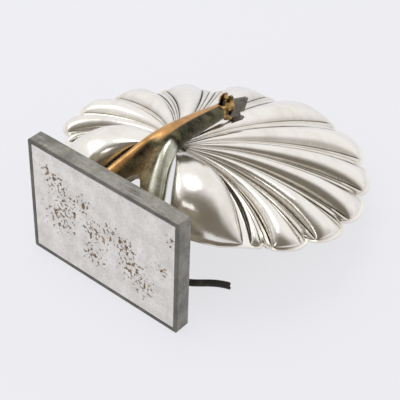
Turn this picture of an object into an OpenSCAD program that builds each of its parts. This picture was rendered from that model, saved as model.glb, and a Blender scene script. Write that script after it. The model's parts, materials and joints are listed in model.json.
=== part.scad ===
// Shell-shade wall light: a weighted wall box, a forked brass arm, and a fluted
// silver shell that tilts on the arm's knuckle and holds a small-thread lampholder.
// Frame: origin at the middle of the box's wall face, +Z up, the light faces -Y.
// The pieces are drawn with y measured forwards from the box's front and z upwards
// from its lower edge, and hang() then puts them into the frame.

/* [Wall box] */
// Width of the box
box_w = 138; // [130:1:146]
// Height of the box
box_h = 98; // [94:1:104]
// Depth of the box from the wall to its front
box_t = 12; // [12:0.5:14]
// Width of the metal border round the back sheet
border = 3; // [2.5:0.1:4]
// Thickness of the box's front wall
front_wall = 2.5; // [2:0.1:3]
// Thickness of the sheet let into the back
sheet_t = 1; // [0.8:0.1:1.2]
// Thickness of the plate on the box's front
front_plate_t = 2; // [1.6:0.1:2.4]

/* [Shell] */
// Mean radius of the shell's outline
shell_r = 118.5; // [115:0.5:121]
// Height of the hinge above the shell's rim
shell_rise = 32; // [29:0.5:33]
// Height of a flute at its widest
flute_h = 8.4; // [6:0.1:9]
// Depth of a scallop in the rim
scallop = 8; // [5:0.5:9]
// Width of the flat lip round the rim
lip_w = 2.6; // [2:0.1:3.2]
// Thickness of the shell's metal
shell_t = 1.4; // [1.2:0.1:1.6]

/* [Arm] */
// Distance of each leg from the middle, at the box
leg_spread = 28; // [25:0.5:30]
// Radius of the arm at its knuckle
arm_tip_r = 6; // [5.5:0.1:6.2]

/* [Knuckle] */
// Radius of the pivot pin
pin_r = 2; // [1.8:0.1:2.2]
// Thickness of the blade that the knuckle grips
blade_t = 3; // [2.6:0.1:3.2]
// Height of the blade
blade_h = 11; // [10:0.5:12]
// Running gap on each side of the blade
blade_gap = 0.3; // [0.25:0.05:0.35]

/* [Lampholder] */
// Radius of the socket's screw thread
thread_r = 6.95; // [6.9:0.01:7]
// Radius of the lampholder's skirt
skirt_r = 13; // [12.5:0.1:13.2]

/* [Cord] */
// Width of the flat twin flex
flex_w = 5.2; // [4.8:0.1:5.4]
// Thickness of the flat twin flex
flex_t = 2.7; // [2.5:0.1:2.9]

/* [Hidden] */
$fn = 48;

// Metals and other finishes
lead_grey = [0.42, 0.43, 0.41];
zinc = [0.78, 0.78, 0.76];
brass = [0.62, 0.44, 0.22];
silver = [0.83, 0.82, 0.79];
steel = [0.36, 0.34, 0.31];
bakelite = [0.09, 0.08, 0.07];
porcelain = [0.88, 0.86, 0.80];

// Wall box
wall_t = border + 1.5;
edge_gap = 0.4;
corner_r = 1.6;
plate_inset = 2;
front_y = front_plate_t;

// Shell outline, in a plane that falls away from the box
rim_mid_y = 122;
rim_z0 = 63;
rim_fall = 0.18;
umbo_y = 64;
umbo_r = 9;
fan_end = 6;
lobe_phi = 135;
turn_phi = 155;
turn_at = 0.6;
notch_ctrl = [34, 8];
notch_end = [15, 50];
notch_rise = 22;
lobe_h = 28;
wide_half = 0.32;
inner_half = 0.285;
bead_half = 0.055;
inner_s = 0.985;

// Arm: centre line stations as [y, z, half spread, radius, groove]
arm_path = [
    [front_y, 54, leg_spread, 9, 0.75],
    [12, 64, leg_spread - 4.5, 9.5, 0.7],
    [24, 75, leg_spread - 11, 9.5, 0.6],
    [36, 84.5, leg_spread - 18, 9.2, 0.5],
    [48, 91.4, 4.5, 9, 0.32],
    [60, 93.4, 2.6, 8.3, 0.18],
    [74, 92.8, 1.8, 7.6, 0.1],
    [90, 91, 1.2, 6.9, 0.05],
    [104, 88.8, 0.6, 6.3, 0],
    [112, 87.6, 0, arm_tip_r, 0]
];
arch_reach = 2.3;
arch_fade = 4;
stud_r = 2.4;
stud_hole_r = 2.5;
stud_len = 12;

// Knuckle and blade
pivot = [121.5, 85];
slot_w = blade_t + 2 * (blade_gap + 0.5);
washer_t = 0.5;
pin_clear = 0.05;
blade_slope = -21;
blade_rise = 2;
blade_seat_slope = -14.5;
solder_bite = 0.2;
cheek_half = 6.2;
knuckle_front = 4.8;
blade_reach = 24;

// Lampholder, its axis pointing forwards and down, out under the shell's rim
lamp_at = [88, 59];
lamp_dip = 20;
cap_r = 12.6;
cap_len = 14;
nipple_r = 5;
skirt_len = 34;
sleeve_y = 20;
sleeve_len = 24;
strap_t = 1.5;
strap_slope = -14;

// Route of the flex: centre points as [x, y, z]
flex_route = [
    [35, 2, 13], [35, 6, 13], [35.6, 10, 12.5], [37.3, 14.2, 11.6], [40, 18, 10.5],
    [43.4, 21.4, 9.5], [47.4, 24.6, 8.8], [51.8, 27.8, 8.7], [56.2, 30.8, 9.3],
    [60.6, 33.8, 9.9], [65, 36.8, 10.1], [69.4, 39.8, 9.5], [73, 42.2, 8.6]
];
flex_lean = 35;

module hang() {
    translate([0, -box_t, -box_h / 2]) rotate([0, 0, 180]) children();
}

// A cylinder along +y from y0 to y1
module rod_y(r, y0, y1, x = 0, z = 0) {
    translate([x, y0, z]) rotate([-90, 0, 0]) cylinder(r = r, h = y1 - y0);
}

// A cylinder along x, centred on the middle plane
module rod_x(r, half) {
    rotate([0, 90, 0]) cylinder(r = r, h = 2 * half, center = true);
}

module block(x0, x1, y0, y1, z0, z1) {
    translate([x0, y0, z0]) cube([x1 - x0, y1 - y0, z1 - z0]);
}

// A slab facing forwards with rounded corners
module slab(w, h, r, y0, y1) {
    translate([0, y1, box_h / 2]) rotate([90, 0, 0]) linear_extrude(y1 - y0) rounded(w, h, r);
}

module rounded(w, h, r) {
    union() {
        square([w - 2 * r, h], center = true);
        square([w, h - 2 * r], center = true);
        for (sx = [-1, 1], sz = [-1, 1]) translate([sx * (w / 2 - r), sz * (h / 2 - r)]) circle(r);
    }
}

// ---- Wall box -------------------------------------------------------------

// Cast box, open at the back, with a ledge that the sheet lies on
module wall_box() {
    color(lead_grey) hang() difference() {
        slab(box_w, box_h, corner_r, -box_t, 0);
        slab(box_w - 2 * border, box_h - 2 * border, 0.5, -box_t - 1, -box_t + sheet_t);
        slab(box_w - 2 * wall_t, box_h - 2 * wall_t, 2, -box_t - 1, -front_wall);
        for (s = [-1, 1]) rod_y(stud_hole_r, -front_wall - 1, 1, s * leg_spread, 54);
        rod_y(3.6, -front_wall - 1, 1, flex_route[0][0], flex_route[0][2]);
    }
}

// Zinc-coated sheet let into the back, flush with the border
module back_sheet() {
    sheet_w = box_w - 2 * border - 2 * edge_gap;
    sheet_h = box_h - 2 * border - 2 * edge_gap;
    color(zinc) hang() slab(sheet_w, sheet_h, 0.5, -box_t, -box_t + sheet_t);
}

// Thin plate on the front, a little smaller than the box
module front_plate() {
    color([0.62, 0.58, 0.48]) hang() difference() {
        slab(box_w - 2 * plate_inset, box_h - 2 * plate_inset, 1.2, 0, front_plate_t);
        for (s = [-1, 1]) rod_y(stud_hole_r, -1, front_plate_t + 1, s * leg_spread, 54);
        rod_y(3.6, -1, front_plate_t + 1, flex_route[0][0], flex_route[0][2]);
    }
}

// ---- Arm ------------------------------------------------------------------

arm_n = 28;
arm_last = len(arm_path) - 1;

// 1 on a leg and 0 in the groove between the two
function side(a) = cos(a) / sqrt(cos(a) * cos(a) + 0.15);

// Slope of the arm's centre line at a station
function arm_slope(i) =
    i == 0 ? 0 :
    i == arm_last ? -8 :
    atan2(arm_path[i + 1][1] - arm_path[i - 1][1], arm_path[i + 1][0] - arm_path[i - 1][0]);

// The station and the slope at a place between two stations
function arm_between(q) =
    let (i = min(floor(q), arm_last - 1), t = q - i)
    concat(mix(arm_path[i], arm_path[i + 1], t), [mix(arm_slope(i), arm_slope(i + 1), t)]);

// The foot is arched: between the legs it starts further along the centre line
function arm_point(i, a) =
    let (
        middle = 1 - side(a) * side(a),
        p = arm_between(i + arch_reach * middle * middle * max(0, 1 - i / arch_fade)),
        x = p[2] * side(a) + p[3] * cos(a),
        up = p[3] * sin(a) * (1 - p[4] * middle)
    )
    [x, p[0] - up * sin(p[5]), p[1] + up * cos(p[5])];

// Cast brass arm: two legs that join over the shell and run on as one
module arm() {
    pts = [for (i = [0:arm_last]) for (j = [0:arm_n - 1]) arm_point(i, 360 * j / arm_n)];
    half = arm_n / 2;
    sides = [
        for (i = [0:arm_last - 1]) for (j = [0:arm_n - 1])
            let (a = i * arm_n + j, b = i * arm_n + (j + 1) % arm_n)
            each [[a, b, b + arm_n], [a, b + arm_n, a + arm_n]]
    ];
    foot = [
        for (j = [0:half - 1])
            let (a = j, b = j + 1, c = (arm_n - j - 1) % arm_n, d = (arm_n - j) % arm_n)
            each j == 0 ? [[a, c, b]] : j == half - 1 ? [[a, d, b]] : [[a, d, c], [a, c, b]]
    ];
    tip = [[for (j = [0:arm_n - 1]) arm_last * arm_n + j]];
    color(brass) hang() difference() {
        polyhedron(points = pts, faces = [for (f = concat(sides, foot, tip)) [for (k = [len(f) - 1:-1:0]) f[k]]]);
        for (s = [-1, 1]) rod_y(stud_hole_r, -1, front_y + stud_len, s * leg_spread, 54);
    }
}

// Studs that fix the arm to the box
module arm_studs() {
    color(steel) hang() for (s = [-1, 1])
        rod_y(stud_r, -front_wall - 5.5, front_y + stud_len - 0.5, s * leg_spread, 54);
}

module arm_washers() {
    color(steel) hang() for (s = [-1, 1]) difference() {
        rod_y(5, -front_wall - 1, -front_wall, s * leg_spread, 54);
        rod_y(stud_hole_r + 0.1, -front_wall - 2, 0, s * leg_spread, 54);
    }
}

module arm_nuts() {
    color(steel) hang() for (s = [-1, 1]) difference() {
        translate([s * leg_spread, -front_wall - 5, 54]) rotate([-90, 0, 0])
            cylinder(r = 4.6, h = 4, $fn = 6);
        rod_y(stud_r + 0.02, -front_wall - 6, 0, s * leg_spread, 54);
    }
}

// ---- Knuckle --------------------------------------------------------------

// Upturned brass end with a domed top and a flat front, slotted for the blade
module arm_knuckle() {
    post = [
        [0, 78], [3.6, 78], [5.4, 79.4], [6.2, 82], [6.3, 86], [6, 90], [5.7, 93.5], [5.2, 95.8],
        [4.1, 97.6], [2.3, 98.5], [0, 98.8]
    ];
    color(brass) hang() difference() {
        union() {
            translate([0, pivot[0], 0]) rotate_extrude() polygon(post);
            translate([0, 112, 87.6]) rotate([-98, 0, 0]) cylinder(r = arm_tip_r, h = 7);
        }
        block(-slot_w / 2, slot_w / 2, 113.4, 130, 70, 105);
        block(-10, 10, pivot[0] + knuckle_front, 135, 70, 105);
        translate([0, pivot[0], pivot[1]]) rod_x(pin_r + 0.02, 20);
    }
}

// Pin peened over at both ends
module pivot_pin() {
    color(steel) hang() translate([0, pivot[0], pivot[1]]) union() {
        rod_x(pin_r, cheek_half + 0.6);
        for (s = [-1, 1]) translate([s * (cheek_half + 0.55), 0, 0]) rod_x(pin_r + 1, 0.45);
    }
}

// Spring washers that hold the tilt where it is set
module friction_washers() {
    color(steel) hang() for (s = [-1, 1])
        translate([s * (slot_w / 2 - washer_t / 2), pivot[0], pivot[1]]) difference() {
            rod_x(4.2, washer_t / 2);
            rod_x(pin_r + 0.1, 2);
        }
}

// ---- Shell ----------------------------------------------------------------

function clip01(v) = min(1, max(0, v));
function bump(v, c, w) = abs(v - c) < w ? sqrt(1 - pow((v - c) / w, 2)) : 0;
function mix(p, q, t) = p * (1 - t) + q * t;
function arc2(p, q, r, t) = mix(mix(p, q, t), mix(q, r, t), t);
function polar(r, phi) = [r * sin(phi), rim_mid_y + r * cos(phi)];
function rim_r(phi) = shell_r + 5.5 * cos(3 * phi) - 1.5 * cos(phi);

// How far along the fan a column is, from 0 at the middle flute to fan_end, and then
// over the lobe from fan_end to fan_end + 1
function lobe_of(a) = clip01(a - fan_end);
function off_flute(a) = abs(a - min(round(a), 5));
function rim_phi(a) =
    a < fan_end ? 31.5 * a - 1.5 * a * a : lobe_phi + (turn_phi - lobe_phi) * clip01(lobe_of(a) / turn_at);

function scallop_in(a) =
    a < 5.5 ? scallop * (1 - pow(1 - pow(2 * off_flute(a), 2.2), 0.7)) :
    a < fan_end ? scallop / 2 * (1 + clip01((5.6 - a) / 0.1)) :
    scallop / 2 * clip01(1 - lobe_of(a) / 0.25);

// Where a column ends on the rim, and where it starts round the hinge
function column_end(a) =
    let (past = (lobe_of(a) - turn_at) / (1 - turn_at))
    past > 0
        ? arc2(polar(rim_r(turn_phi) - lip_w, turn_phi), notch_ctrl, notch_end, past)
        : polar(rim_r(rim_phi(a)) - scallop_in(a) - lip_w, rim_phi(a));
function start_phi(a) = a < fan_end ? 0.62 * rim_phi(a) : 0.62 * lobe_phi + 56 * lobe_of(a);
function lead_phi(a) = a < fan_end ? 0.5 * rim_phi(a) : 0.5 * lobe_phi + 70 * lobe_of(a);
function column_start(a) = [umbo_r * sin(start_phi(a)), umbo_y + umbo_r * cos(start_phi(a))];
function column_bend(a) =
    let (p = column_start(a), d = norm(column_end(a) - p))
    p + 0.5 * d * [sin(lead_phi(a)), cos(lead_phi(a))];

function rim_plane(y) = rim_z0 - rim_fall * y;
function notch_z(a) = notch_rise * pow(clip01((lobe_of(a) - turn_at) / (1 - turn_at)), 2);

// Height of the fluted fan over the rim's plane; the inside has no beads
function fan_h(a, s, inside) =
    let (
        v = off_flute(a),
        n = inside ? s / inner_s : s,
        reach = sqrt(clip01(1 - pow(n, 14))),
        tall = (0.6 + flute_h * clip01(s / 0.75)) * reach,
        edge = a > 5.5 ? 0.6 * bump(v, 0.67, inside ? 0.09 : 0.12) : 0,
        flute = bump(v, 0, inside ? inner_half : wide_half) + edge,
        bead = inside ? 0 : 0.22 * bump(v, 0.39, 0.05) + 0.34 * bump(v, 0.5, bead_half)
    )
    shell_rise * (1 - pow(s, 2.0 - 1.0 * clip01(a / 5))) + tall * (flute + bead);

// Height of a lobe, which rises like a ball beside the arm
function lobe_z(a, s, inside) =
    let (
        b = lobe_of(a),
        n = inside ? s / inner_s : s,
        ball = sqrt(4 * b * (1 - b)) * sqrt(clip01(1 - pow(n, 4))) * (1 - pow(1 - s, 1.8))
    )
    shell_rise * (1 - s) + notch_z(a) * s + lobe_h * (inside ? 0.95 : 1) * ball;

function shell_point(u, s, inside) =
    let (
        a = abs(u),
        p = arc2(column_start(a), column_bend(a), column_end(a), s),
        h = a < fan_end ? fan_h(a, s, inside) : lobe_z(a, s, inside)
    )
    [(u < 0 ? -1 : 1) * p[0], p[1], rim_plane(p[1]) + h - (inside ? shell_t : 0)];

// Outer edge of the lip, which runs straight on from the end of the column
function lip_point(u, inside) =
    let (
        a = abs(u),
        way = column_end(a) - column_bend(a),
        out = lip_w * (1 - clip01((lobe_of(a) - turn_at) / (1 - turn_at))),
        p = column_end(a) + out * way / norm(way)
    )
    [(u < 0 ? -1 : 1) * p[0], p[1], rim_plane(p[1]) + notch_z(a) - (inside ? shell_t : 0)];

cell = [-0.445, -0.39, -0.335, -0.31, -0.24, -0.13, 0, 0.13, 0.24, 0.31, 0.335, 0.39, 0.445, 0.5];
right_half = concat(
    [for (v = cell) if (v > 0) v],
    [for (k = [1:5]) for (v = cell) k + v],
    [5.56, 5.62, 5.67, 5.72, 5.79, 5.9],
    [for (b = [0, 0.05, 0.14, 0.27, 0.4, 0.52, 0.6, 0.7, 0.8, 0.9, 0.96, 1]) fan_end + b]
);
columns = concat([for (k = [len(right_half) - 1:-1:0]) -right_half[k]], [0], right_half);
rows = [0, 0.09, 0.2, 0.32, 0.44, 0.56, 0.67, 0.77, 0.86, 0.93, 0.975, 1];

// Pressed and fluted silver-plated shell with a flat lip
module shell() {
    nc = len(columns);
    nr = len(rows) + 1;
    skin = function(inside) [
        for (u = columns) each concat([for (s = rows) shell_point(u, s, inside)], [lip_point(u, inside)])
    ];
    hub_y = umbo_y + 1;
    hub = [[0, hub_y, rim_plane(hub_y) + shell_rise], [0, hub_y, rim_plane(hub_y) + shell_rise - shell_t]];
    pts = concat(skin(false), skin(true), hub);
    low = nc * nr;
    top = 2 * nc * nr;
    grid = [
        for (i = [0:nc - 2]) for (j = [0:nr - 2])
            let (a = i * nr + j, b = a + nr)
            each [
                [a, a + 1, b + 1], [a, b + 1, b],
                [low + a, low + b + 1, low + a + 1], [low + a, low + b, low + b + 1]
            ]
    ];
    cap = [
        for (i = [0:nc - 2])
            let (a = i * nr, b = a + nr)
            each [[top, a, b], [top + 1, low + b, low + a]]
    ];
    first = 0;
    last = (nc - 1) * nr;
    edge = concat(
        [for (i = [0:nc - 1]) i * nr + nr - 1],
        [for (j = [nr - 2:-1:0]) last + j],
        [top],
        [for (j = [0:nr - 2]) first + j]
    );
    ne = len(edge);
    under = function(k) k == top ? top + 1 : low + k;
    wall = [
        for (k = [0:ne - 1])
            let (a = edge[k], b = edge[(k + 1) % ne])
            each [[a, under(a), under(b)], [a, under(b), b]]
    ];
    color(silver) hang() polyhedron(points = pts, faces = concat(grid, cap, wall));
}

// Steel blade that stands up from the shell between the knuckle's cheeks
module pivot_blade() {
    seat = shell_point(0, 0.36, false);
    color(steel) hang() difference() {
        union() {
            translate([0, pivot[0], pivot[1]]) rotate([blade_slope, 0, 0])
                block(-blade_t / 2, blade_t / 2, -5.2, blade_reach, blade_rise - blade_h / 2, blade_rise + blade_h / 2);
            block(-blade_t / 2, blade_t / 2, seat[1] - 5, seat[1] + 4, seat[2], pivot[1] - 3);
            translate(seat) rotate([blade_seat_slope, 0, 0]) block(-4, 4, -7, 6, -solder_bite, 1.2);
        }
        translate([0, pivot[0], pivot[1]]) rod_x(pin_r + pin_clear, 20);
    }
}

// ---- Lampholder -----------------------------------------------------------

// The lampholder's pieces are drawn along +y from the back of its cap
module lamp_frame() {
    translate([0, lamp_at[0], lamp_at[1]]) rotate([-lamp_dip, 0, 0]) children();
}

// Strap soldered under the shell that carries the lampholder
module holder_bracket() {
    seat = shell_point(wide_half, 0.12, true);
    color(steel) hang() difference() {
        union() {
            lamp_frame() block(-7, 7, -strap_t, 0, -9, 11);
            lamp_frame() block(-4.5, 4.5, -strap_t, 0, 10, 18);
            translate([0, seat[1], seat[2] + solder_bite]) rotate([strap_slope, 0, 0])
                block(-5, 5, -7, 4, -strap_t, 0);
        }
        lamp_frame() rod_y(nipple_r + 0.1, -strap_t - 1, 1);
    }
}

// Threaded tube that joins the bracket and the cap
module holder_nipple() {
    color(brass) hang() lamp_frame() difference() {
        rod_y(nipple_r, -5.5, 6);
        rod_y(nipple_r - 1.2, -7, 8);
    }
}

module nipple_nut() {
    color(brass) hang() lamp_frame() difference() {
        translate([0, -strap_t - 3, 0]) rotate([-90, 0, 0]) cylinder(r = 8, h = 3, $fn = 6);
        rod_y(nipple_r + 0.02, -6, 0);
    }
}

// Rear cap that screws on to the nipple
module holder_cap() {
    color(bakelite) hang() lamp_frame() difference() {
        rotate([-90, 0, 0]) rotate_extrude() polygon([
            [0, 0], [8, 0], [11.4, 2], [cap_r, 5], [cap_r, cap_len], [11, cap_len], [11, 7], [0, 7]
        ]);
        rod_y(nipple_r + 0.02, -1, 9);
    }
}

// Skirt round the screw thread
module holder_skirt() {
    color(bakelite) hang() lamp_frame() translate([0, cap_len, 0]) rotate([-90, 0, 0]) rotate_extrude()
        polygon([
            [11, 0], [skirt_r, 0], [skirt_r, 3], [skirt_r - 0.6, 4], [skirt_r - 0.6, skirt_len - 2],
            [skirt_r - 1.4, skirt_len], [9.4, skirt_len], [9.4, 8], [11, 6]
        ]);
}

// Metal sleeve that the lamp screws into
module holder_thread() {
    color(brass) hang() lamp_frame() difference() {
        rod_y(8, sleeve_y, sleeve_y + sleeve_len);
        rod_y(thread_r, sleeve_y + 2, sleeve_y + sleeve_len + 1);
        rod_y(3, sleeve_y - 1, sleeve_y + 3);
    }
}

// Porcelain base inside the cap
module holder_insulator() {
    color(porcelain) hang() lamp_frame() difference() {
        rod_y(10.8, 8, sleeve_y - 0.2);
        rod_y(3, 16, sleeve_y + 1);
        for (s = [-1, 1]) rod_y(1.6, 7, 14, s * 6.5);
    }
}

// Springy contact at the bottom of the socket
module holder_contact() {
    color(brass) hang() lamp_frame() union() {
        rod_y(2.4, 16, sleeve_y + 1.2);
        rod_y(1.6, sleeve_y + 1.1, sleeve_y + 1.9);
    }
}

// ---- Flex and its fixings ---------------------------------------------------

flex_n = 8;
flex_last = len(flex_route) - 1;

function route_way(i) =
    let (d = flex_route[min(i + 1, flex_last)] - flex_route[max(i - 1, 0)])
    i == 0 ? [0, 1, 0] : d / norm(d);
function flex_point(i, a) =
    let (
        w = route_way(i),
        level = cross(w, [0, 0, 1]) / norm(cross(w, [0, 0, 1])),
        above = cross(level, w),
        lean = flex_lean * min(1, i / 5),
        face = level * cos(lean) + above * sin(lean),
        wide = above * cos(lean) - level * sin(lean)
    )
    flex_route[i] + face * (flex_t / 2) * cos(a) + wide * (flex_w / 2) * sin(a);

// Flat twin flex from the bush to its cut end
module cord() {
    pts = [for (i = [0:flex_last]) for (j = [0:flex_n - 1]) flex_point(i, 360 * (j + 0.5) / flex_n)];
    sides = [
        for (i = [0:flex_last - 1]) for (j = [0:flex_n - 1])
            let (a = i * flex_n + j, b = i * flex_n + (j + 1) % flex_n)
            each [[a, b, b + flex_n], [a, b + flex_n, a + flex_n]]
    ];
    ends = [
        [for (j = [flex_n - 1:-1:0]) j],
        [for (j = [0:flex_n - 1]) flex_last * flex_n + j]
    ];
    color(bakelite) hang() polyhedron(points = pts, faces = concat(sides, ends));
}

// Rubber bush in the front plate
module cord_bush() {
    x = flex_route[0][0];
    z = flex_route[0][2];
    color(bakelite) hang() difference() {
        union() {
            rod_y(3.55, -front_wall - 1.2, front_y + 0.1, x, z);
            rod_y(5, front_y, front_y + 1.5, x, z);
            rod_y(5, -front_wall - 1.4, -front_wall, x, z);
        }
        translate([x, 0, z]) block(-flex_t / 2 - 0.05, flex_t / 2 + 0.05, -9, 9, -flex_w / 2 - 0.05, flex_w / 2 + 0.05);
    }
}

// The flex inside the box, from the bush to the terminals
module flex_tail() {
    x = flex_route[0][0];
    z = flex_route[0][2];
    color(bakelite) hang() union() {
        block(x - flex_t / 2, x + flex_t / 2, -6.8, front_y, z - flex_w / 2, z + flex_w / 2);
        block(4.2, x + flex_t / 2, -6.8, -4.2, z - flex_w / 2, z + flex_w / 2);
    }
}

// Saddle that grips the flex inside the box
module cord_clamp() {
    z = flex_route[0][2];
    color(steel) hang() difference() {
        block(19, 25, -8.3, -front_wall, z - 7, z + 7);
        block(18, 26, -7, -2, z - flex_w / 2 - 0.1, z + flex_w / 2 + 0.1);
        for (s = [-1, 1]) rod_y(1.1, -10, 0, 22, z + s * 5);
    }
}

module clamp_screws() {
    z = flex_route[0][2];
    color(steel) hang() for (s = [-1, 1]) union() {
        rod_y(1.05, -8.3, -front_wall, 22, z + s * 5);
        rod_y(1.9, -9.5, -8.3, 22, z + s * 5);
    }
}

// Two-way terminal block
module terminal_block() {
    z = flex_route[0][2];
    color(porcelain) hang() difference() {
        block(-14, 4, -9.6, -front_wall, z - 7, z + 7);
        for (s = [-1, 1]) {
            rod_y(1.6, -10, -5, -5, z + s * 3.2);
            translate([-5, -5.2, z + s * 3.2]) rotate([0, 90, 0]) cylinder(r = 1.3, h = 20, center = true);
        }
    }
}

module terminal_screws() {
    z = flex_route[0][2];
    color(brass) hang() for (s = [-1, 1]) rod_y(1.5, -9.6, -5.5, -5, z + s * 3.2);
}

wall_box();
back_sheet();
front_plate();
arm();
arm_studs();
arm_washers();
arm_nuts();
arm_knuckle();
pivot_pin();
friction_washers();
shell();
pivot_blade();
holder_bracket();
holder_nipple();
nipple_nut();
holder_cap();
holder_skirt();
holder_thread();
holder_insulator();
holder_contact();
cord_bush();
cord();
flex_tail();
cord_clamp();
clamp_screws();
terminal_block();
terminal_screws();
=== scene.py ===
# A shell-shade wall light: a weighted wall box, a forked brass arm with a turned knuckle, and a fluted
# silver-plated shell that tilts on it and hides an electric candle lampholder.

import json
import math

import bpy
import numpy as np
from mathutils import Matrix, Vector

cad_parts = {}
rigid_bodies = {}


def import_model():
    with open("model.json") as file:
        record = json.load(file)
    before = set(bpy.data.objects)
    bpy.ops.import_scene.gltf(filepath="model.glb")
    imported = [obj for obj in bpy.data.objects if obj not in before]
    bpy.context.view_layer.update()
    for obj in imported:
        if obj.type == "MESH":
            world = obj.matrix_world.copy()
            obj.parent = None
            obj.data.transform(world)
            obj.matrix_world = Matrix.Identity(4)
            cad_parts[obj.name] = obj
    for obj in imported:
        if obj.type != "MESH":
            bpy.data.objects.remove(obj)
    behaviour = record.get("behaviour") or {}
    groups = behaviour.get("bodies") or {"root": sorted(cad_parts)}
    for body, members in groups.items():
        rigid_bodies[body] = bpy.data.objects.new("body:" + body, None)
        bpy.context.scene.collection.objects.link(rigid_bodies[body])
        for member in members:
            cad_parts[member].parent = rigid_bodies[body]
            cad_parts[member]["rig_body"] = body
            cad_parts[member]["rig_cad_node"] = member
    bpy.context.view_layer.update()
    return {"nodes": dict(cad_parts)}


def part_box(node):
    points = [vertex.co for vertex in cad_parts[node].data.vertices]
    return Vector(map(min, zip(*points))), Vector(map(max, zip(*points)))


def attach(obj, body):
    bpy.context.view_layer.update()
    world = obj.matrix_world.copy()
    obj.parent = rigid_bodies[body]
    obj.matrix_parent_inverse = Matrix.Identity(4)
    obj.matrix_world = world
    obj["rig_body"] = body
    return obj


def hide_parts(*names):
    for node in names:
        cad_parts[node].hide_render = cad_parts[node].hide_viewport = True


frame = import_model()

nodes = frame["nodes"]
box_low, box_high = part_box("wall_box")
MM = 0.001

# ---- Camera ------------------------------------------------------------------------------------------------
# It looks down on the light from behind the wall box, from about 0.8 m away, with a long lens.

camera = bpy.data.objects.new("camera", bpy.data.cameras.new("camera"))
bpy.context.scene.collection.objects.link(camera)
camera.location = (-0.4351, 0.43985, 0.5453)
camera.rotation_euler = [math.radians(a) for a in (50.315, -1.704, -140.075)]
camera.data.lens = 107.41
camera.data.sensor_width = 36
bpy.context.scene.camera = camera
bpy.context.scene.view_settings.view_transform = "Standard"


# ---- Flex --------------------------------------------------------------------------------------------------
# The light's flat twin flex: two stranded copper cores side by side in one dark sheath with a groove
# between them. It comes out of the bush in the front plate and is cut off at a slant, as the real one is.


def at(x, y, z):
    """A place given in millimetres from the box's front face (y) and its lower edge (z), in the frame."""
    return Vector((-x * MM, box_low.y - y * MM, box_low.z + z * MM))


class Value:
    """A shader value that takes arithmetic, so that a mask is written as an expression."""

    def __init__(self, finish, socket):
        self.finish = finish
        self.socket = socket

    def math(self, operation, first, second):
        return self.finish.add("ShaderNodeMath", {"operation": operation}, {0: first, 1: second})

    def __add__(self, other):
        return self.math("ADD", self, other)

    def __sub__(self, other):
        return self.math("SUBTRACT", self, other)

    def __rsub__(self, other):
        return self.math("SUBTRACT", other, self)

    def __mul__(self, other):
        return self.math("MULTIPLY", self, other)

    def __truediv__(self, other):
        return self.math("DIVIDE", self, other)

    __radd__ = __add__
    __rmul__ = __mul__

    def larger(self, other):
        return self.math("MAXIMUM", self, other)

    def between(self, low, high):
        """0 below low and 1 above high, with a smooth step from one to the other."""
        settings = {"interpolation_type": "SMOOTHSTEP"}
        sockets = {"Value": self, "From Min": low, "From Max": high}
        return self.finish.add("ShaderNodeMapRange", settings, sockets, "Result")


class Finish:
    """One material: its Principled shader, and the methods that add nodes to it."""

    def __init__(self, name, colour, roughness, metallic=0.0, **fixed):
        self.material = bpy.data.materials.new(name)
        self.material.use_nodes = True
        self.tree = self.material.node_tree
        self.shader = self.tree.nodes["Principled BSDF"]
        self.material.diffuse_color = (*colour, 1)
        self.set("Base Color", (*colour, 1))
        self.set("Roughness", roughness)
        self.set("Metallic", metallic)
        for socket, value in fixed.items():
            self.set(socket.replace("_", " "), value)
        self.place = self.add("ShaderNodeTexCoord", output="Object")

    def add(self, kind, settings=None, sockets=None, output=0):
        node = self.tree.nodes.new(kind)
        for name, value in (settings or {}).items():
            if name == "stops":
                ramp = node.color_ramp.elements
                while len(ramp) < len(value):
                    ramp.new(1)
                for element, (position, colour) in zip(ramp, value):
                    element.position = position
                    element.color = (*colour, 1)
            else:
                setattr(node, name, value)
        for name, value in (sockets or {}).items():
            self.join(node.inputs[name], value)
        return Value(self, node.outputs[output])

    def join(self, socket, value):
        if isinstance(value, Value):
            self.tree.links.new(value.socket, socket)
        else:
            socket.default_value = value

    def set(self, name, value):
        self.join(self.shader.inputs[name], value)

    def noise(self, size, detail=3.0, roughness=0.5, stretch=None, kind="ShaderNodeTexNoise"):
        """A grain about size millimetres across. stretch makes it longer along X, Y or Z."""
        place = self.place
        if stretch:
            place = self.add("ShaderNodeMapping", {}, {"Vector": place, "Scale": stretch}, "Vector")
        sockets = {"Vector": place, "Scale": 1 / (size * MM), "Detail": detail, "Roughness": roughness}
        return self.add(kind, {}, sockets, 0)

    def cells(self, size):
        return self.add("ShaderNodeTexVoronoi", {}, {"Vector": self.place, "Scale": 1 / (size * MM)}, "Distance")

    def mix(self, share, first, second):
        """The colour first where share is 0, and second where it is 1."""
        colours = {
            6: (*first, 1) if isinstance(first, tuple) else first,
            7: (*second, 1) if isinstance(second, tuple) else second,
        }
        return self.add("ShaderNodeMix", {"data_type": "RGBA"}, {0: share, **colours}, 2)

    def attribute(self, name):
        return self.add("ShaderNodeAttribute", {"attribute_name": name}, {}, "Fac")

    def split(self):
        """The place's x, y and z, as three values."""
        first = self.add("ShaderNodeSeparateXYZ", {}, {0: self.place}, 0)
        node = first.socket.node
        return first, Value(self, node.outputs[1]), Value(self, node.outputs[2])

    def bump(self, height, depth):
        """Gives the surface relief of that depth in millimetres."""
        sockets = {"Height": height, "Distance": depth * MM, "Strength": 1.0}
        self.set("Normal", self.add("ShaderNodeBump", {}, sockets, "Normal"))


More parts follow.
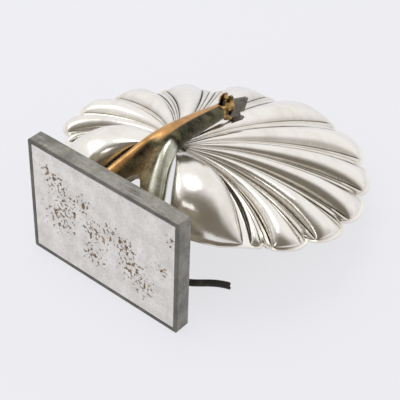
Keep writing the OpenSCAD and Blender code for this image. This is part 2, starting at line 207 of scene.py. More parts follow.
def mesh_piece(name, points, faces, finish, smooth=40):
    """A new object with that mesh, its normals outwards."""
    mesh = bpy.data.meshes.new(name)
    mesh.from_pydata([tuple(p) for p in points], [], [tuple(int(i) for i in f) for f in faces])
    piece = bpy.data.objects.new(name, mesh)
    bpy.context.scene.collection.objects.link(piece)
    mesh.materials.append(finish.material)
    pick(piece)
    bpy.ops.object.mode_set(mode="EDIT")
    bpy.ops.mesh.select_all(action="SELECT")
    bpy.ops.mesh.normals_make_consistent(inside=False)
    bpy.ops.object.mode_set(mode="OBJECT")
    bpy.ops.object.shade_smooth_by_angle(angle=math.radians(smooth))
    return piece


def pick(piece):
    """Leaves that piece alone selected and active."""
    bpy.ops.object.select_all(action="DESELECT")
    piece.select_set(True)
    bpy.context.view_layer.objects.active = piece


def own(piece, body, slot, *replaced):
    """Ties a finished piece to its body and hides the CAD nodes that it stands for. slot is not used."""
    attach(piece, body)
    if replaced:
        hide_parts(*replaced)
    return piece


def curve_through(points, steps):
    """A smooth curve through the points, with that many steps between each two."""
    p = np.array(points, float)
    p = np.vstack([2 * p[0] - p[1], p, 2 * p[-1] - p[-2]])
    out = []
    for i in range(1, len(p) - 2):
        for k in range(steps):
            t = k / steps
            a, b, c, d = p[i - 1], p[i], p[i + 1], p[i + 2]
            square, cube = (2 * a - 5 * b + 4 * c - d) * t**2, (3 * b - a - 3 * c + d) * t**3
            out.append(0.5 * (2 * b + (c - a) * t + square + cube))
    out.append(p[-2])
    return np.array(out)


flex_sheath = Finish("flex_sheath", (0.03, 0.026, 0.02), 0.5)
sheath_grain = flex_sheath.noise(0.9, 4)
sheath_dust = flex_sheath.noise(6, 3).between(0.5, 0.75)
flex_sheath.set("Base Color", flex_sheath.mix(sheath_dust * 0.6, (0.026, 0.022, 0.017), (0.09, 0.075, 0.055)))
flex_sheath.set("Roughness", sheath_grain * 0.25 + 0.38)
flex_sheath.bump(sheath_grain, 0.05)

copper_strands = Finish("copper_strands", (0.72, 0.35, 0.18), 0.35, 1.0)
strand_dull = copper_strands.noise(0.4, 3)
strand_tone = copper_strands.mix(strand_dull.between(0.4, 0.7), (0.72, 0.35, 0.18), (0.28, 0.14, 0.07))
copper_strands.set("Base Color", strand_tone)
copper_strands.set("Roughness", strand_dull * 0.3 + 0.25)

# The route's points, in metres: out from the box's front, across, and up from its lower edge
flex_route = [
    (0.035, 0.002, 0.013), (0.035, 0.006, 0.013), (0.0356, 0.010, 0.0125), (0.0373, 0.0142, 0.0116),
    (0.040, 0.018, 0.0105), (0.0434, 0.0214, 0.0095), (0.0474, 0.0246, 0.0088), (0.0518, 0.0278, 0.0087),
    (0.0562, 0.0308, 0.0093), (0.0606, 0.0338, 0.0099), (0.065, 0.0368, 0.0101), (0.0694, 0.0398, 0.0095),
    (0.073, 0.0422, 0.0086),
]
FLEX_WIDE = 0.0052
FLEX_THICK = 0.0027
FLEX_LEAN = math.radians(35)
ROUTE_STEPS = 4
route = [at(x / MM, y / MM, z / MM) for x, y, z in flex_route]
line = curve_through(route, ROUTE_STEPS)
ways = np.gradient(line, axis=0)
ways /= np.linalg.norm(ways, axis=1)[:, None]
ways[0] = (0, -1, 0)
core_r = FLEX_THICK / 2
core_gap = FLEX_WIDE / 2 - core_r
section = []
for turn in range(36):
    angle = 2 * math.pi * (turn + 0.5) / 36
    across, up = core_r * math.cos(angle), core_gap * math.copysign(1, math.sin(angle)) + core_r * math.sin(angle)
    waist = 1 - 0.42 * math.exp(-((up / (0.42 * core_r)) ** 2))
    section.append((across * waist, up))
CUT_SLANT = 0.32
flex_points = []
for spot, (centre, way) in enumerate(zip(line, ways)):
    level = np.cross(way, (0, 0, 1))
    level /= np.linalg.norm(level)
    above = np.cross(level, way)
    lean = FLEX_LEAN * min(1, spot / (5 * ROUTE_STEPS))
    side = level * math.cos(lean) + above * math.sin(lean)
    over = above * math.cos(lean) - level * math.sin(lean)
    slant = CUT_SLANT if spot == len(line) - 1 else 0.0
    for across, up in section:
        flex_points.append(centre + side * across + over * up - way * slant * (up + FLEX_WIDE / 2))
ring = len(section)
flex_faces = [
    (i * ring + j, i * ring + (j + 1) % ring, (i + 1) * ring + (j + 1) % ring, (i + 1) * ring + j)
    for i in range(len(line) - 1) for j in range(ring)
]
flex_faces.append(range(ring))
flex_faces.append([(len(line) - 1) * ring + j for j in range(ring)])
flex = mesh_piece("flex", flex_points, flex_faces, flex_sheath, 50)
own(flex, "bracket", "flex_sheath", "cord")

end_way, end_side, end_over = ways[-1], side, over
strands = []
for core in (-1, 1):
    for turn in range(7):
        reach = 0.0 if turn == 6 else 0.52 * MM
        angle = math.pi * turn / 3
        spot = line[-1] + end_over * (core * core_gap + reach * math.sin(angle)) + end_side * reach * math.cos(angle)
        spot -= end_way * CUT_SLANT * (core * core_gap + FLEX_WIDE / 2)
        bpy.ops.object.select_all(action="DESELECT")
        bpy.ops.mesh.primitive_cylinder_add(vertices=10, radius=0.24 * MM, depth=1.1 * MM, location=spot)
        strand = bpy.context.object
        strand.rotation_euler = Vector(end_way).to_track_quat("Z", "Y").to_euler()
        bpy.ops.object.mode_set(mode="EDIT")
        bpy.ops.mesh.bevel(offset=0.06 * MM, segments=2)
        bpy.ops.object.mode_set(mode="OBJECT")
        strand.data.materials.append(copper_strands.material)
        strands.append(strand)
bpy.ops.object.select_all(action="DESELECT")
for strand in strands:
    strand.select_set(True)
bpy.context.view_layer.objects.active = strands[0]
bpy.ops.object.join()
cut_cores = bpy.context.object
cut_cores.name = "cut_cores"
bpy.ops.object.transform_apply(location=True, rotation=True, scale=True)
own(cut_cores, "bracket", "flex_sheath")

# ---- Wall box ----------------------------------------------------------------------------------------------
# A heavy open-backed casting in a lead-grey white metal. Its edges are rubbed round, and its faces are
# scratched and unevenly dulled. It is the CAD casting with every edge broken.


def softened(node, width, finish, segments=2, dissolve=1.0, angle=28):
    """A copy of a CAD node with its edges broken by that many millimetres, under its own name."""
    piece = nodes[node].copy()
    piece.data = nodes[node].data.copy()
    piece.name = node + "_made"
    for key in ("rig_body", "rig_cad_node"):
        if key in piece:
            del piece[key]
    piece.parent = None
    bpy.context.scene.collection.objects.link(piece)
    pick(piece)
    bpy.ops.object.mode_set(mode="EDIT")
    bpy.ops.mesh.select_all(action="SELECT")
    bpy.ops.mesh.remove_doubles(threshold=0.002 * MM)
    bpy.ops.mesh.dissolve_limited(angle_limit=math.radians(dissolve))
    bpy.ops.object.mode_set(mode="OBJECT")
    bevel = piece.modifiers.new("edges", "BEVEL")
    bevel.width = width * MM
    bevel.segments = segments
    bevel.limit_method = "ANGLE"
    bevel.angle_limit = math.radians(angle)
    bpy.ops.object.modifier_apply(modifier="edges")
    bpy.ops.object.shade_smooth_by_angle(angle=math.radians(35))
    piece.data.materials.clear()
    piece.data.materials.append(finish.material)
    return piece


lead_grey = Finish("lead_grey_metal", (0.24, 0.23, 0.21), 0.45, 0.75)
cloud = lead_grey.noise(22, 5, 0.6)
pits = lead_grey.noise(1.3, 5, 0.65)
scratches = lead_grey.noise(1.1, 2, 0.5, stretch=(0.10, 1, 1)).between(0.58, 0.68)
up_scratches = lead_grey.noise(0.9, 2, 0.5, stretch=(1, 1, 0.12)).between(0.60, 0.7)
stains = lead_grey.noise(7, 5, 0.7)
depth = lead_grey.split()[1]
back_face = depth.between(box_high.y - 1.2 * MM, box_high.y - 0.2 * MM)
grey_tone = lead_grey.mix(cloud.between(0.35, 0.65), (0.165, 0.157, 0.14), (0.34, 0.325, 0.295))
grey_tone = lead_grey.mix(pits.between(0.56, 0.72) * 0.6, grey_tone, (0.085, 0.08, 0.066))
grey_tone = lead_grey.mix((scratches + up_scratches * 0.6).between(0.1, 1) * 0.45, grey_tone, (0.50, 0.49, 0.46))
grey_tone = lead_grey.mix(stains.between(0.52, 0.66) * 0.55, grey_tone, (0.21, 0.17, 0.10))
# The wall-facing back face is made darker all over.
grey_tone = lead_grey.mix(back_face * 0.55, grey_tone, (0.075, 0.072, 0.06))
lead_grey.set("Base Color", grey_tone)
lead_grey.set("Roughness", cloud * 0.25 + pits * 0.25 + 0.25)
lead_grey.bump(pits * 0.5 + scratches * -0.35 + cloud * 0.5, 0.12)
own(softened("wall_box", 0.55, lead_grey, 3), "bracket", "lead_grey_metal", "wall_box")

# ---- Back sheet --------------------------------------------------------------------------------------------
# A thin zinc-coated steel sheet let into the casting's border. Its coat is blotched and pin-pricked, and
# brown crumbs of an old glue are left in a band across it.

zinc = Finish("zinc_sheet", (0.75, 0.72, 0.68), 0.6, 0.25)
blotch = zinc.noise(13, 6, 0.62)
frost = zinc.noise(2.2, 5, 0.7)
specks = 1 - zinc.cells(2.1).between(0.10, 0.2)
fine_specks = 1 - zinc.cells(1.1).between(0.12, 0.2)
sheet_tone = zinc.mix(blotch.between(0.3, 0.75), (0.68, 0.65, 0.61), (0.88, 0.85, 0.81))
sheet_tone = zinc.mix(frost.between(0.45, 0.8) * 0.6, sheet_tone, (0.50, 0.47, 0.43))
sheet_tone = zinc.mix(specks * 0.6 + fine_specks * 0.35, sheet_tone, (0.17, 0.155, 0.13))
# The crumbs lie thickest round these places: across, up and how far, in millimetres from the middle
crumbs = [
    (43, 22, 20), (40, -6, 24), (33, 8, 20), (17, 17, 15), (7, -3, 20), (9, -23, 17), (-6, 6, 16),
    (-20, 2, 20), (-27, -14, 24), (-38, -24, 18), (-62, 30, 9), (-55, 0, 10), (52, 30, 9),
]
near = None
for across, up, reach in crumbs:
    spot = (across * MM, box_high.y, up * MM)
    away = zinc.add("ShaderNodeVectorMath", {"operation": "DISTANCE"}, {0: zinc.place, 1: spot}, "Value")
    patch = 1 - (away / (reach * MM)).between(0.05, 1.0)
    near = patch if near is None else near.larger(patch)
crumb_shape = zinc.noise(3.1, 5, 0.62)
crumb_group = zinc.noise(8, 3, 0.5)
crumb = (crumb_shape + near * 0.13 + crumb_group * 0.16).between(0.725, 0.757) * near.between(0.02, 0.12)
rust = zinc.noise(5.5, 2).between(0.56, 0.66)
crumb_tone = zinc.mix(frost.between(0.42, 0.62), (0.14, 0.085, 0.04), (0.30, 0.20, 0.11))
crumb_tone = zinc.mix(rust * 0.8, crumb_tone, (0.45, 0.24, 0.10))
sheet_tone = zinc.mix(crumb, sheet_tone, crumb_tone)
zinc.set("Base Color", sheet_tone)
zinc.set("Roughness", frost * 0.3 + crumb * 0.25 + 0.42)
zinc.set("Metallic", (1 - crumb) * 0.2)
zinc.bump(frost * 0.18 + crumb * crumb_shape * 1.6 - specks * 0.1, 0.35)
own(softened("back_sheet", 0.12, zinc), "bracket", "zinc_sheet", "back_sheet")

# ---- Front plate -------------------------------------------------------------------------------------------
# A dull bronze plate a little smaller than the box, screwed to its front behind the arm and the bush.

dull_bronze = Finish("dull_bronze", (0.34, 0.30, 0.22), 0.45, 0.85)
bronze_cloud = dull_bronze.noise(15, 4)
bronze_grain = dull_bronze.noise(0.8, 3, stretch=(1, 1, 0.08))
bronze_tone = dull_bronze.mix(bronze_cloud.between(0.35, 0.7), (0.38, 0.34, 0.26), (0.20, 0.17, 0.12))
dull_bronze.set("Base Color", bronze_tone)
dull_bronze.set("Roughness", bronze_grain * 0.3 + 0.28)
dull_bronze.bump(bronze_grain, 0.03)
own(softened("front_plate", 0.3, dull_bronze, 3), "bracket", "dull_bronze", "front_plate")

# ---- Arm ---------------------------------------------------------------------------------------------------
# One brass casting: two round legs stand on the plate, lean together over the shell and run on as one bar.
# The crest is rubbed to bright copper-brown brass and one leg still has a thin grey-green plating. The brass on the
# upper and left side is partly a painted highlight, and the rest of the arm is painted nearly black as shade over a
# dark patina.

worn_brass = Finish("worn_brass", (0.5, 0.3, 0.12), 0.3, 1.0)
patina = worn_brass.noise(9, 5, 0.6)
fine_patina = worn_brass.noise(1.6, 4, 0.6)
wear = worn_brass.attribute("wear")
plated = worn_brass.attribute("plated")
# Painted shade: off the crest the arm is painted nearly black, over a dark patina.
shade_and_patina_tone = worn_brass.mix(patina.between(0.35, 0.7), (0.02, 0.021, 0.015), (0.13, 0.115, 0.065))
brass_tone = worn_brass.mix(patina.between(0.35, 0.72), (0.60, 0.33, 0.13), (0.36, 0.20, 0.07))
arm_tone = worn_brass.mix((wear + fine_patina * 0.3).between(0.35, 0.95), shade_and_patina_tone, brass_tone)
plating = (plated + fine_patina * 0.3 - 0.1).between(0.2, 0.85)
plate_tone = worn_brass.mix(patina.between(0.4, 0.75), (0.66, 0.66, 0.56), (0.42, 0.43, 0.32))
worn_brass.set("Base Color", worn_brass.mix(plating, arm_tone, plate_tone))
worn_brass.set("Roughness", fine_patina * 0.16 + patina * 0.12 + 0.12)
worn_brass.bump(fine_patina * 0.4 + patina * 0.5, 0.10)

# Centre line: out from the box, up, half the spread of the legs, radius, depth of the groove
arm_path = [
    (2, 54, 28, 9, 0.75), (12, 64, 23.5, 9.5, 0.7), (24, 75, 17, 9.5, 0.6), (36, 84.5, 10, 9.2, 0.5),
    (48, 91.4, 4.5, 9, 0.32), (60, 93.4, 2.6, 8.3, 0.18), (74, 92.8, 1.8, 7.6, 0.1), (90, 91, 1.2, 6.9, 0.05),
    (104, 88.8, 0.6, 6.3, 0), (112, 87.6, 0, 6, 0),
]
ARM_STEPS = 7
ARM_SIDES = 72
ARCH_REACH = 2.3
ARCH_FADE = 4
arm_line = curve_through(arm_path, ARM_STEPS)
rise = np.gradient(arm_line, axis=0)
slopes = np.arctan2(rise[:, 1], rise[:, 0])
slopes[:ARM_STEPS] *= np.linspace(0, 1, ARM_STEPS)
stations = np.arange(len(arm_line)) / ARM_STEPS


def step(value, low, high):
    t = min(1, max(0, (value - low) / (high - low)))
    return t * t * (3 - 2 * t)


arm_points, arm_wear_and_top_light, arm_plated = [], [], []
for station in stations:
    for turn in range(ARM_SIDES):
        angle = 2 * math.pi * turn / ARM_SIDES
        lean = math.cos(angle) / math.sqrt(math.cos(angle) ** 2 + 0.15)
        middle = 1 - lean * lean
        # The foot is arched: between the legs it starts further along the centre line
        along = station + ARCH_REACH * middle**2 * max(0, 1 - station / ARCH_FADE)
        out, up, spread, radius, groove = (np.interp(along, stations, arm_line[:, k]) for k in range(5))
        slope = np.interp(along, stations, slopes)
        across = spread * lean + radius * math.cos(angle)
        tall = radius * math.sin(angle) * (1 - max(0, groove) * middle)
        arm_points.append(at(across, out - tall * math.sin(slope), up + tall * math.cos(slope)))
        # Brass shows on the crest of one leg and along the bar's top, a grey plating on the other leg; the
        # upper-side brass is partly a painted highlight, and all else is painted dark as shade
        ridge = step(math.sin(angle), -0.25, 0.5)
        legs = step(out, 62, 40)
        brassy = step(math.cos(angle), 0.30, -0.05) * (1 - legs) + step(math.cos(angle), -0.18, -0.5) * legs
        valley = 0.35 * middle * legs
        arm_wear_and_top_light.append(max(ridge * brassy, valley))
        arm_plated.append(step(math.cos(angle), 0.22, 0.5) * step(out, 58, 46) * step(math.sin(angle), -0.5, 0.1))
last_ring = (len(arm_line) - 1) * ARM_SIDES
arm_faces = [
    (i * ARM_SIDES + j, i * ARM_SIDES + (j + 1) % ARM_SIDES,
     (i + 1) * ARM_SIDES + (j + 1) % ARM_SIDES, (i + 1) * ARM_SIDES + j)
    for i in range(len(arm_line) - 1) for j in range(ARM_SIDES)
]
for j in range(ARM_SIDES // 2):
    foot = (j, j + 1, (ARM_SIDES - j - 1) % ARM_SIDES, (ARM_SIDES - j) % ARM_SIDES)
    arm_faces.append(list(dict.fromkeys(foot)))
arm_faces.append([last_ring + j for j in range(ARM_SIDES)])


def add_attribute(piece, name, values):
    made = piece.data.attributes.new(name, "FLOAT", "POINT")
    made.data.foreach_set("value", np.array(values, np.float32))


arm = mesh_piece("forked_arm", arm_points, arm_faces, worn_brass, 50)
add_attribute(arm, "wear", arm_wear_and_top_light)
add_attribute(arm, "plated", arm_plated)
own(arm, "bracket", "worn_brass", "arm")

# ---- Knuckle -----------------------------------------------------------------------------------------------
# The arm's upturned brass end, with a domed top and a flat front. It is slotted for the blade, filed
# smooth and cross-drilled for the pin.

bright_brass = Finish("bright_brass", (0.62, 0.40, 0.16), 0.2, 1.0)
turned = bright_brass.noise(0.7, 3, 0.5, stretch=(0.15, 0.15, 1))
tarnish_patch = bright_brass.noise(5, 4, 0.6)
post_tone = bright_brass.mix(tarnish_patch.between(0.42, 0.62), (0.58, 0.36, 0.13), (0.07, 0.04, 0.015))
bright_brass.set("Base Color", post_tone)
bright_brass.set("Roughness", turned * 0.12 + tarnish_patch * 0.12 + 0.08)
bright_brass.bump(turned, 0.03)
own(softened("arm_knuckle", 0.3, bright_brass, 2, 0.2, 40), "bracket", "worn_brass", "arm_knuckle")

# ---- Pin, washers, studs, nuts, screws ---------------------------------------------------------------------
# Small steel hardware, blackened with age and handling. Each is the CAD piece in a worked dark steel.

dark_steel = Finish("dark_steel", (0.1, 0.085, 0.07), 0.5, 0.9)
steel_cloud = dark_steel.noise(6, 5, 0.65)
steel_grain = dark_steel.noise(0.7, 4, 0.6)
steel_tone = dark_steel.mix(steel_cloud.between(0.35, 0.7), (0.20, 0.18, 0.155), (0.085, 0.07, 0.05))
steel_tone = dark_steel.mix(steel_grain.between(0.6, 0.75) * 0.35, steel_tone, (0.24, 0.16, 0.09))
dark_steel.set("Base Color", steel_tone)
dark_steel.set("Roughness", steel_cloud * 0.3 + steel_grain * 0.2 + 0.22)
dark_steel.bump(steel_grain, 0.05)


def refinish(name, finish):
    """Gives a CAD node that finish."""
    node = nodes[name]
    node.data.materials.clear()
    node.data.materials.append(finish.material)
    for face in node.data.polygons:
        face.material_index = 0


for name in ("pivot_pin", "friction_washers", "arm_studs", "arm_washers", "arm_nuts", "clamp_screws"):
    refinish(name, dark_steel)

# ---- Blade -------------------------------------------------------------------------------------------------
# A flat steel tongue soldered to the shell's middle flute. The knuckle grips it, and its end shows past
# the knuckle.

own(softened("pivot_blade", 0.25, dark_steel, 2), "shade", "dark_steel", "pivot_blade")

# ---- Shell -------------------------------------------------------------------------------------------------
# Thin brass pressed over a former into eleven round flutes between narrow beads, with two smooth lobes
# beside the arm and a flat lip, then silver-plated and polished. The grooves keep a dark olive tarnish.

RIM_MID = 122
RIM_Z = 63
RIM_FALL = 0.18
SHELL_R = 118.5
SHELL_RISE = 32
FLUTE = 8.4
SCALLOP = 8
LIP = 2.6
SHEET = 1.4
UMBO_Y = 64
UMBO_R = 9
FAN_END = 6
LOBE_H = 28
TURN_AT = 0.6
NOTCH_BEND = np.array([34.0, 8.0])
NOTCH_END = np.array([15.0, 50.0])


def clip(v):
    return np.clip(v, 0, 1)


def hump(v, centre, half):
    return np.sqrt(clip(1 - ((v - centre) / half) ** 2))


def ring_point(radius, angle, middle):
    angle = np.radians(angle)
    return np.stack([radius * np.sin(angle), middle + radius * np.cos(angle)], -1)


def bend(p, q, r, t):
    t = t[..., None]
    return (1 - t) ** 2 * p + 2 * t * (1 - t) * q + t * t * r


def rim_radius(angle):
    return SHELL_R + 5.5 * np.cos(np.radians(3 * angle)) - 1.5 * np.cos(np.radians(angle))


def shell_point(u, s, inside=False, lip=False):
    """A point of the shell: u counts flutes from the middle one, and s runs from the hinge to the rim."""
    u, s = np.broadcast_arrays(np.asarray(u, float), np.asarray(s, float))
    a = np.abs(u)
    lobe = clip(a - FAN_END)
    past = clip((lobe - TURN_AT) / (1 - TURN_AT))
    v = np.abs(a - np.minimum(np.round(a), 5))
    fan = a < FAN_END
    angle = np.where(fan, 31.5 * a - 1.5 * a * a, 135 + 20 * clip(lobe / TURN_AT))
    cut = np.where(
        a < 5.5, SCALLOP * (1 - (1 - clip(2 * v) ** 2.2) ** 0.7),
        np.where(fan, SCALLOP / 2 * (1 + clip((5.6 - a) / 0.1)), SCALLOP / 2 * clip(1 - lobe / 0.25)),
    )
    end = ring_point(rim_radius(angle) - cut - LIP, angle, RIM_MID)
    corner = ring_point(rim_radius(155.0) - LIP, 155.0, RIM_MID)
    end = np.where((past > 0)[..., None], bend(corner, NOTCH_BEND, NOTCH_END, past), end)
    start = ring_point(UMBO_R, np.where(fan, 0.62 * angle, 83.7 + 56 * lobe), UMBO_Y)
    lead = np.where(fan, 0.5 * angle, 67.5 + 70 * lobe)
    reach = 0.5 * np.linalg.norm(end - start, axis=-1)
    control = start + ring_point(reach, lead, 0)
    notch = 22 * past**2
    if lip:
        way = end - control
        way /= np.linalg.norm(way, axis=-1)[..., None]
        p = end + LIP * (1 - past)[..., None] * way
        height = notch
    else:
        p = bend(start, control, end, s)
        n = s / 0.985 if inside else s
        side = 0.285 if inside else 0.32
        tall = (0.6 + FLUTE * clip(s / 0.75)) * np.sqrt(clip(1 - n**14))
        flute = hump(v, 0, side) + np.where(a > 5.5, 0.6 * hump(v, 0.67, 0.09 if inside else 0.12), 0)
        if not inside:
            flute = flute + 0.22 * hump(v, 0.39, 0.05) + 0.34 * hump(v, 0.5, 0.055)
        fan_z = SHELL_RISE * (1 - s ** (2 - clip(a / 5))) + tall * flute
        ball = np.sqrt(4 * lobe * (1 - lobe)) * np.sqrt(clip(1 - n**4)) * (1 - (1 - s) ** 1.8)
        lobe_z = SHELL_RISE * (1 - s) + notch * s + LOBE_H * (0.95 if inside else 1) * ball
        height = np.where(fan, fan_z, lobe_z)
    z = RIM_Z - RIM_FALL * p[..., 1] + height - (SHEET if inside else 0)
    return np.stack([np.sign(u) * p[..., 0], p[..., 1], z], -1)


# One flute and the beads beside it, closest together where the profile turns
flute_steps = [
    0.05, 0.1, 0.15, 0.2, 0.245, 0.28, 0.303, 0.317, 0.33, 0.343, 0.36, 0.39, 0.42, 0.437, 0.448, 0.465, 0.5,
]
cell = [-v for v in flute_steps[-2::-1]] + [0] + flute_steps
right = flute_steps + [k + v for k in range(1, 6) for v in cell]
right += list(np.linspace(5.53, 5.98, 14)) + list(FAN_END + (1 - np.cos(np.linspace(0, math.pi, 40))) / 2)
columns = np.array([-u for u in right[::-1]] + [0] + right)
rows = np.concatenate([np.linspace(0, 0.9, 46), 1 - 0.1 * (1 - np.sin(np.linspace(0, math.pi / 2, 15)[1:])) ** 1.4])
rows[-1] = 1.0
grid_u, grid_s = np.meshgrid(columns, rows, indexing="ij")


def skin(inside):
    surface = shell_point(grid_u, grid_s, inside)
    lip_edge = shell_point(columns, 1.0, inside, lip=True)[:, None, :]
    return np.concatenate([surface, lip_edge], 1)


per_column = len(rows) + 1
count = len(columns)
hub = np.array([[0, UMBO_Y + 1, RIM_Z - RIM_FALL * (UMBO_Y + 1) + SHELL_RISE]])
shell_mm = np.concatenate([skin(False).reshape(-1, 3), skin(True).reshape(-1, 3), hub, hub - [0, 0, SHEET]])
low = count * per_column
top = 2 * low
shell_faces = []
for i in range(count - 1):
    for j in range(per_column - 1):
        a = i * per_column + j
        b = a + per_column
        shell_faces.append((a, a + 1, b + 1, b))
        shell_faces.append((low + a, low + b, low + b + 1, low + a + 1))
    a = i * per_column
    shell_faces.append((top, a, a + per_column))
    shell_faces.append((top + 1, low + a + per_column, low + a))
edge = [i * per_column + per_column - 1 for i in range(count)]
edge += [(count - 1) * per_column + j for j in range(per_column - 2, -1, -1)]
edge += [top] + [j for j in range(per_column - 1)]
for k, a in enumerate(edge):
    b = edge[(k + 1) % len(edge)]
    under_a, under_b = (top + 1 if p == top else low + p for p in (a, b))
    shell_faces.append((a, under_a, under_b, b))

silver = Finish("silver_plate", (0.86, 0.84, 0.80), 0.16, 1.0)
smear = silver.noise(18, 4, 0.55)
hairline = silver.noise(1.0, 3, 0.6)
spots = silver.noise(3.2, 5, 0.7)
groove = silver.attribute("groove")
warm = silver.attribute("hollow")
silver_tone = silver.mix(smear.between(0.4, 0.75) * 0.6, (0.86, 0.835, 0.79), (0.72, 0.68, 0.61))
silver_tone = silver.mix(spots.between(0.62, 0.8) * 0.3, silver_tone, (0.45, 0.40, 0.32))
silver_tone = silver.mix(warm * (smear * 0.8 + 0.25), silver_tone, (0.46, 0.40, 0.30))
silver_tone = silver.mix((groove + spots * 0.35 - 0.12).between(0.25, 0.85), silver_tone, (0.055, 0.045, 0.025))
silver.set("Base Color", silver_tone)
silver.set("Roughness", smear * 0.14 + hairline * 0.06 + groove * 0.3 + 0.13)
silver.bump(smear * 1.0 + hairline * 0.05 + spots * 0.06, 0.35)

shell = mesh_piece("silver_shell", [at(*p) for p in shell_mm], shell_faces, silver, 35)
flat_u, flat_s = np.abs(grid_u), grid_s
v = np.abs(flat_u - np.minimum(np.round(flat_u), 5))
line_mark = np.exp(-(((v - 0.333) / 0.016) ** 2)) + np.exp(-(((v - 0.445) / 0.012) ** 2)) * 0.9
lobe_mark = np.exp(-(((flat_u - 5.56) / 0.03) ** 2)) + np.exp(-(((flat_u - 5.80) / 0.02) ** 2))
line_mark = np.where(flat_u > 5.56, lobe_mark, line_mark)
line_mark = line_mark + 0.8 * np.exp(-(((flat_u - 6.0) / 0.025) ** 2))
line_mark = clip(line_mark) * clip(0.35 + flat_s) * clip((1.02 - flat_s) / 0.05)
hollow_mark = clip((v - 0.22) / 0.12) * clip((0.52 - v) / 0.1) * np.where(flat_u < 5.5, 1, 0) * clip(flat_s * 1.6)
outer = np.concatenate([line_mark, 0.15 * np.ones((count, 1))], 1).reshape(-1)
hollow = np.concatenate([hollow_mark, np.zeros((count, 1))], 1).reshape(-1)
inner = 0.25 * np.ones_like(outer)
add_attribute(shell, "groove", np.concatenate([outer, inner, [0.2, 0.2]]))
add_attribute(shell, "hollow", np.concatenate([hollow * 0.5, 0.4 * np.ones_like(hollow), [0.0, 0.4]]))
own(shell, "shade", "silver_plate", "shell")

# ---- Lampholder --------------------------------------------------------------------------------------------
# A small bakelite candle lampholder on a strap under the shell: cap, skirt, brass screw sleeve, porcelain
# base and centre contact, held by a threaded tube and its nut.

bakelite = Finish("black_bakelite", (0.018, 0.013, 0.01), 0.3)
swirl = bakelite.noise(4, 4, 0.6)
dust = bakelite.noise(1.2, 5, 0.7)
bakelite.set("Base Color", bakelite.mix(swirl.between(0.4, 0.75), (0.014, 0.011, 0.009), (0.05, 0.03, 0.018)))
bakelite.set("Roughness", dust * 0.25 + 0.2)
bakelite.bump(swirl, 0.03)

porcelain = Finish("porcelain", (0.82, 0.78, 0.70), 0.2)
craze = porcelain.noise(2, 5, 0.7)
porcelain.set("Base Color", porcelain.mix(craze.between(0.5, 0.8), (0.84, 0.81, 0.74), (0.55, 0.48, 0.38)))
porcelain.set("Roughness", craze * 0.2 + 0.12)

for name in ("holder_cap", "holder_skirt"):
    own(softened(name, 0.2, bakelite, 2, 0.3, 30), "shade", "black_bakelite", name)
own(softened("holder_bracket", 0.2, dark_steel), "shade", "dark_steel", "holder_bracket")
for name in ("holder_nipple", "nipple_nut", "holder_thread", "holder_contact", "terminal_screws"):
    refinish(name, bright_brass)
refinish("holder_insulator", porcelain)

# ---- Bush, clamp and terminals -----------------------------------------------------------------------------
# Inside the box: the rubber bush that the flex leaves by, the steel saddle that grips it, the flex's inner
# end and a porcelain terminal block.

rubber = Finish("black_rubber", (0.02, 0.02, 0.02), 0.7)
bloom = rubber.noise(3, 4, 0.6)
rubber.set("Base Color", rubber.mix(bloom.between(0.4, 0.8), (0.016, 0.016, 0.016), (0.07, 0.066, 0.06)))
rubber.set("Roughness", bloom * 0.2 + 0.55)
own(softened("cord_bush", 0.25, rubber, 2, 0.3, 40), "bracket", "black_rubber", "cord_bush")
own(softened("cord_clamp", 0.2, dark_steel), "bracket", "dark_steel", "cord_clamp")
own(softened("terminal_block", 0.3, porcelain), "bracket", "porcelain", "terminal_block")
refinish("flex_tail", flex_sheath)

# ---- Floor and light ---------------------------------------------------------------------------------------
# A plain pale floor under the box's lower edge, which glows a little so that shadows stay light, and a
# bright, even studio light. The silver mirrors a surround of its own, dim and warm on one side.

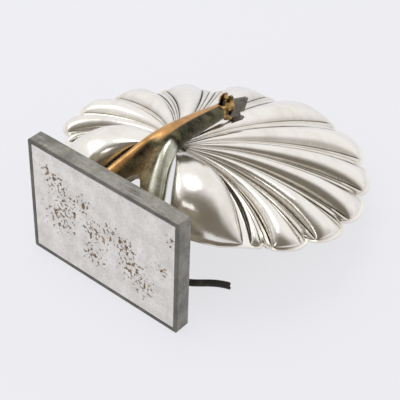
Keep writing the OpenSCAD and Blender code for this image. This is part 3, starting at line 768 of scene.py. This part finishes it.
PAPER_GLOW = (0.69, 0.69, 0.715, 1)
paper = Finish("pale_paper", (0.15, 0.15, 0.155), 0.9, Emission_Color=PAPER_GLOW, Emission_Strength=1.0)
paper_grain = paper.noise(2, 3)
paper.set("Roughness", paper_grain * 0.05 + 0.88)
bpy.ops.object.select_all(action="DESELECT")
bpy.ops.mesh.primitive_plane_add(size=6, location=(0, 0, box_low.z))
floor = bpy.context.object
floor.name = "floor"
floor.data.materials.append(paper.material)

world = bpy.data.worlds.new("studio")
bpy.context.scene.world = world
world.use_nodes = True
studio = Finish("studio_tools", (0, 0, 0), 1)
studio.tree = world.node_tree
pale = world.node_tree.nodes["Background"]
pale.inputs["Color"].default_value = (0.90, 0.905, 0.95, 1)
pale.inputs["Strength"].default_value = 0.86
# What the silver mirrors: bright walls and ceiling, and a dim warm side where the room is open
way = studio.add("ShaderNodeTexCoord", output="Generated")
OPEN_WAY, LOW_WAY = (-0.60, 0.72, 0.35), (-0.95, -0.25, 0.18)
open_side, low_side = (
    studio.add("ShaderNodeVectorMath", {"operation": "DOT_PRODUCT"}, {0: way, 1: toward}, "Value")
    for toward in (OPEN_WAY, LOW_WAY)
)
dim = open_side.between(0.05, 0.75).larger(low_side.between(0.72, 0.97) * 0.45)
mirrored = studio.mix(dim, (1.0, 0.99, 0.985), (0.19, 0.165, 0.13))
reflected = studio.add("ShaderNodeBackground", {}, {"Color": mirrored, "Strength": 1.0}, "Background")
glossy = studio.add("ShaderNodeLightPath", output="Is Glossy Ray")
both = studio.add("ShaderNodeMixShader", {}, {0: glossy, 2: reflected}, 0)
world.node_tree.links.new(pale.outputs[0], both.socket.node.inputs[1])
world.node_tree.links.new(both.socket, world.node_tree.nodes["World Output"].inputs["Surface"])


def softbox(name, place, aim, size, power, colour=(1, 1, 1)):
    lamp = bpy.data.lights.new(name, "AREA")
    lamp.shape = "RECTANGLE"
    lamp.size, lamp.size_y = size
    lamp.energy = power
    lamp.color = colour
    holder = bpy.data.objects.new(name, lamp)
    bpy.context.scene.collection.objects.link(holder)
    holder.location = place
    holder.rotation_euler = (Vector(aim) - Vector(place)).to_track_quat("-Z", "Y").to_euler()


middle = (0, -0.12, 0.0)
softbox("top_light", (0.25, -0.2, 1.3), middle, (0.6, 0.6), 3)
softbox("left_light", (1.1, 0.3, 0.7), middle, (0.4, 0.6), 1.6)
softbox("back_light", (-0.1, 1.2, 1.0), middle, (0.5, 0.3), 1.2)
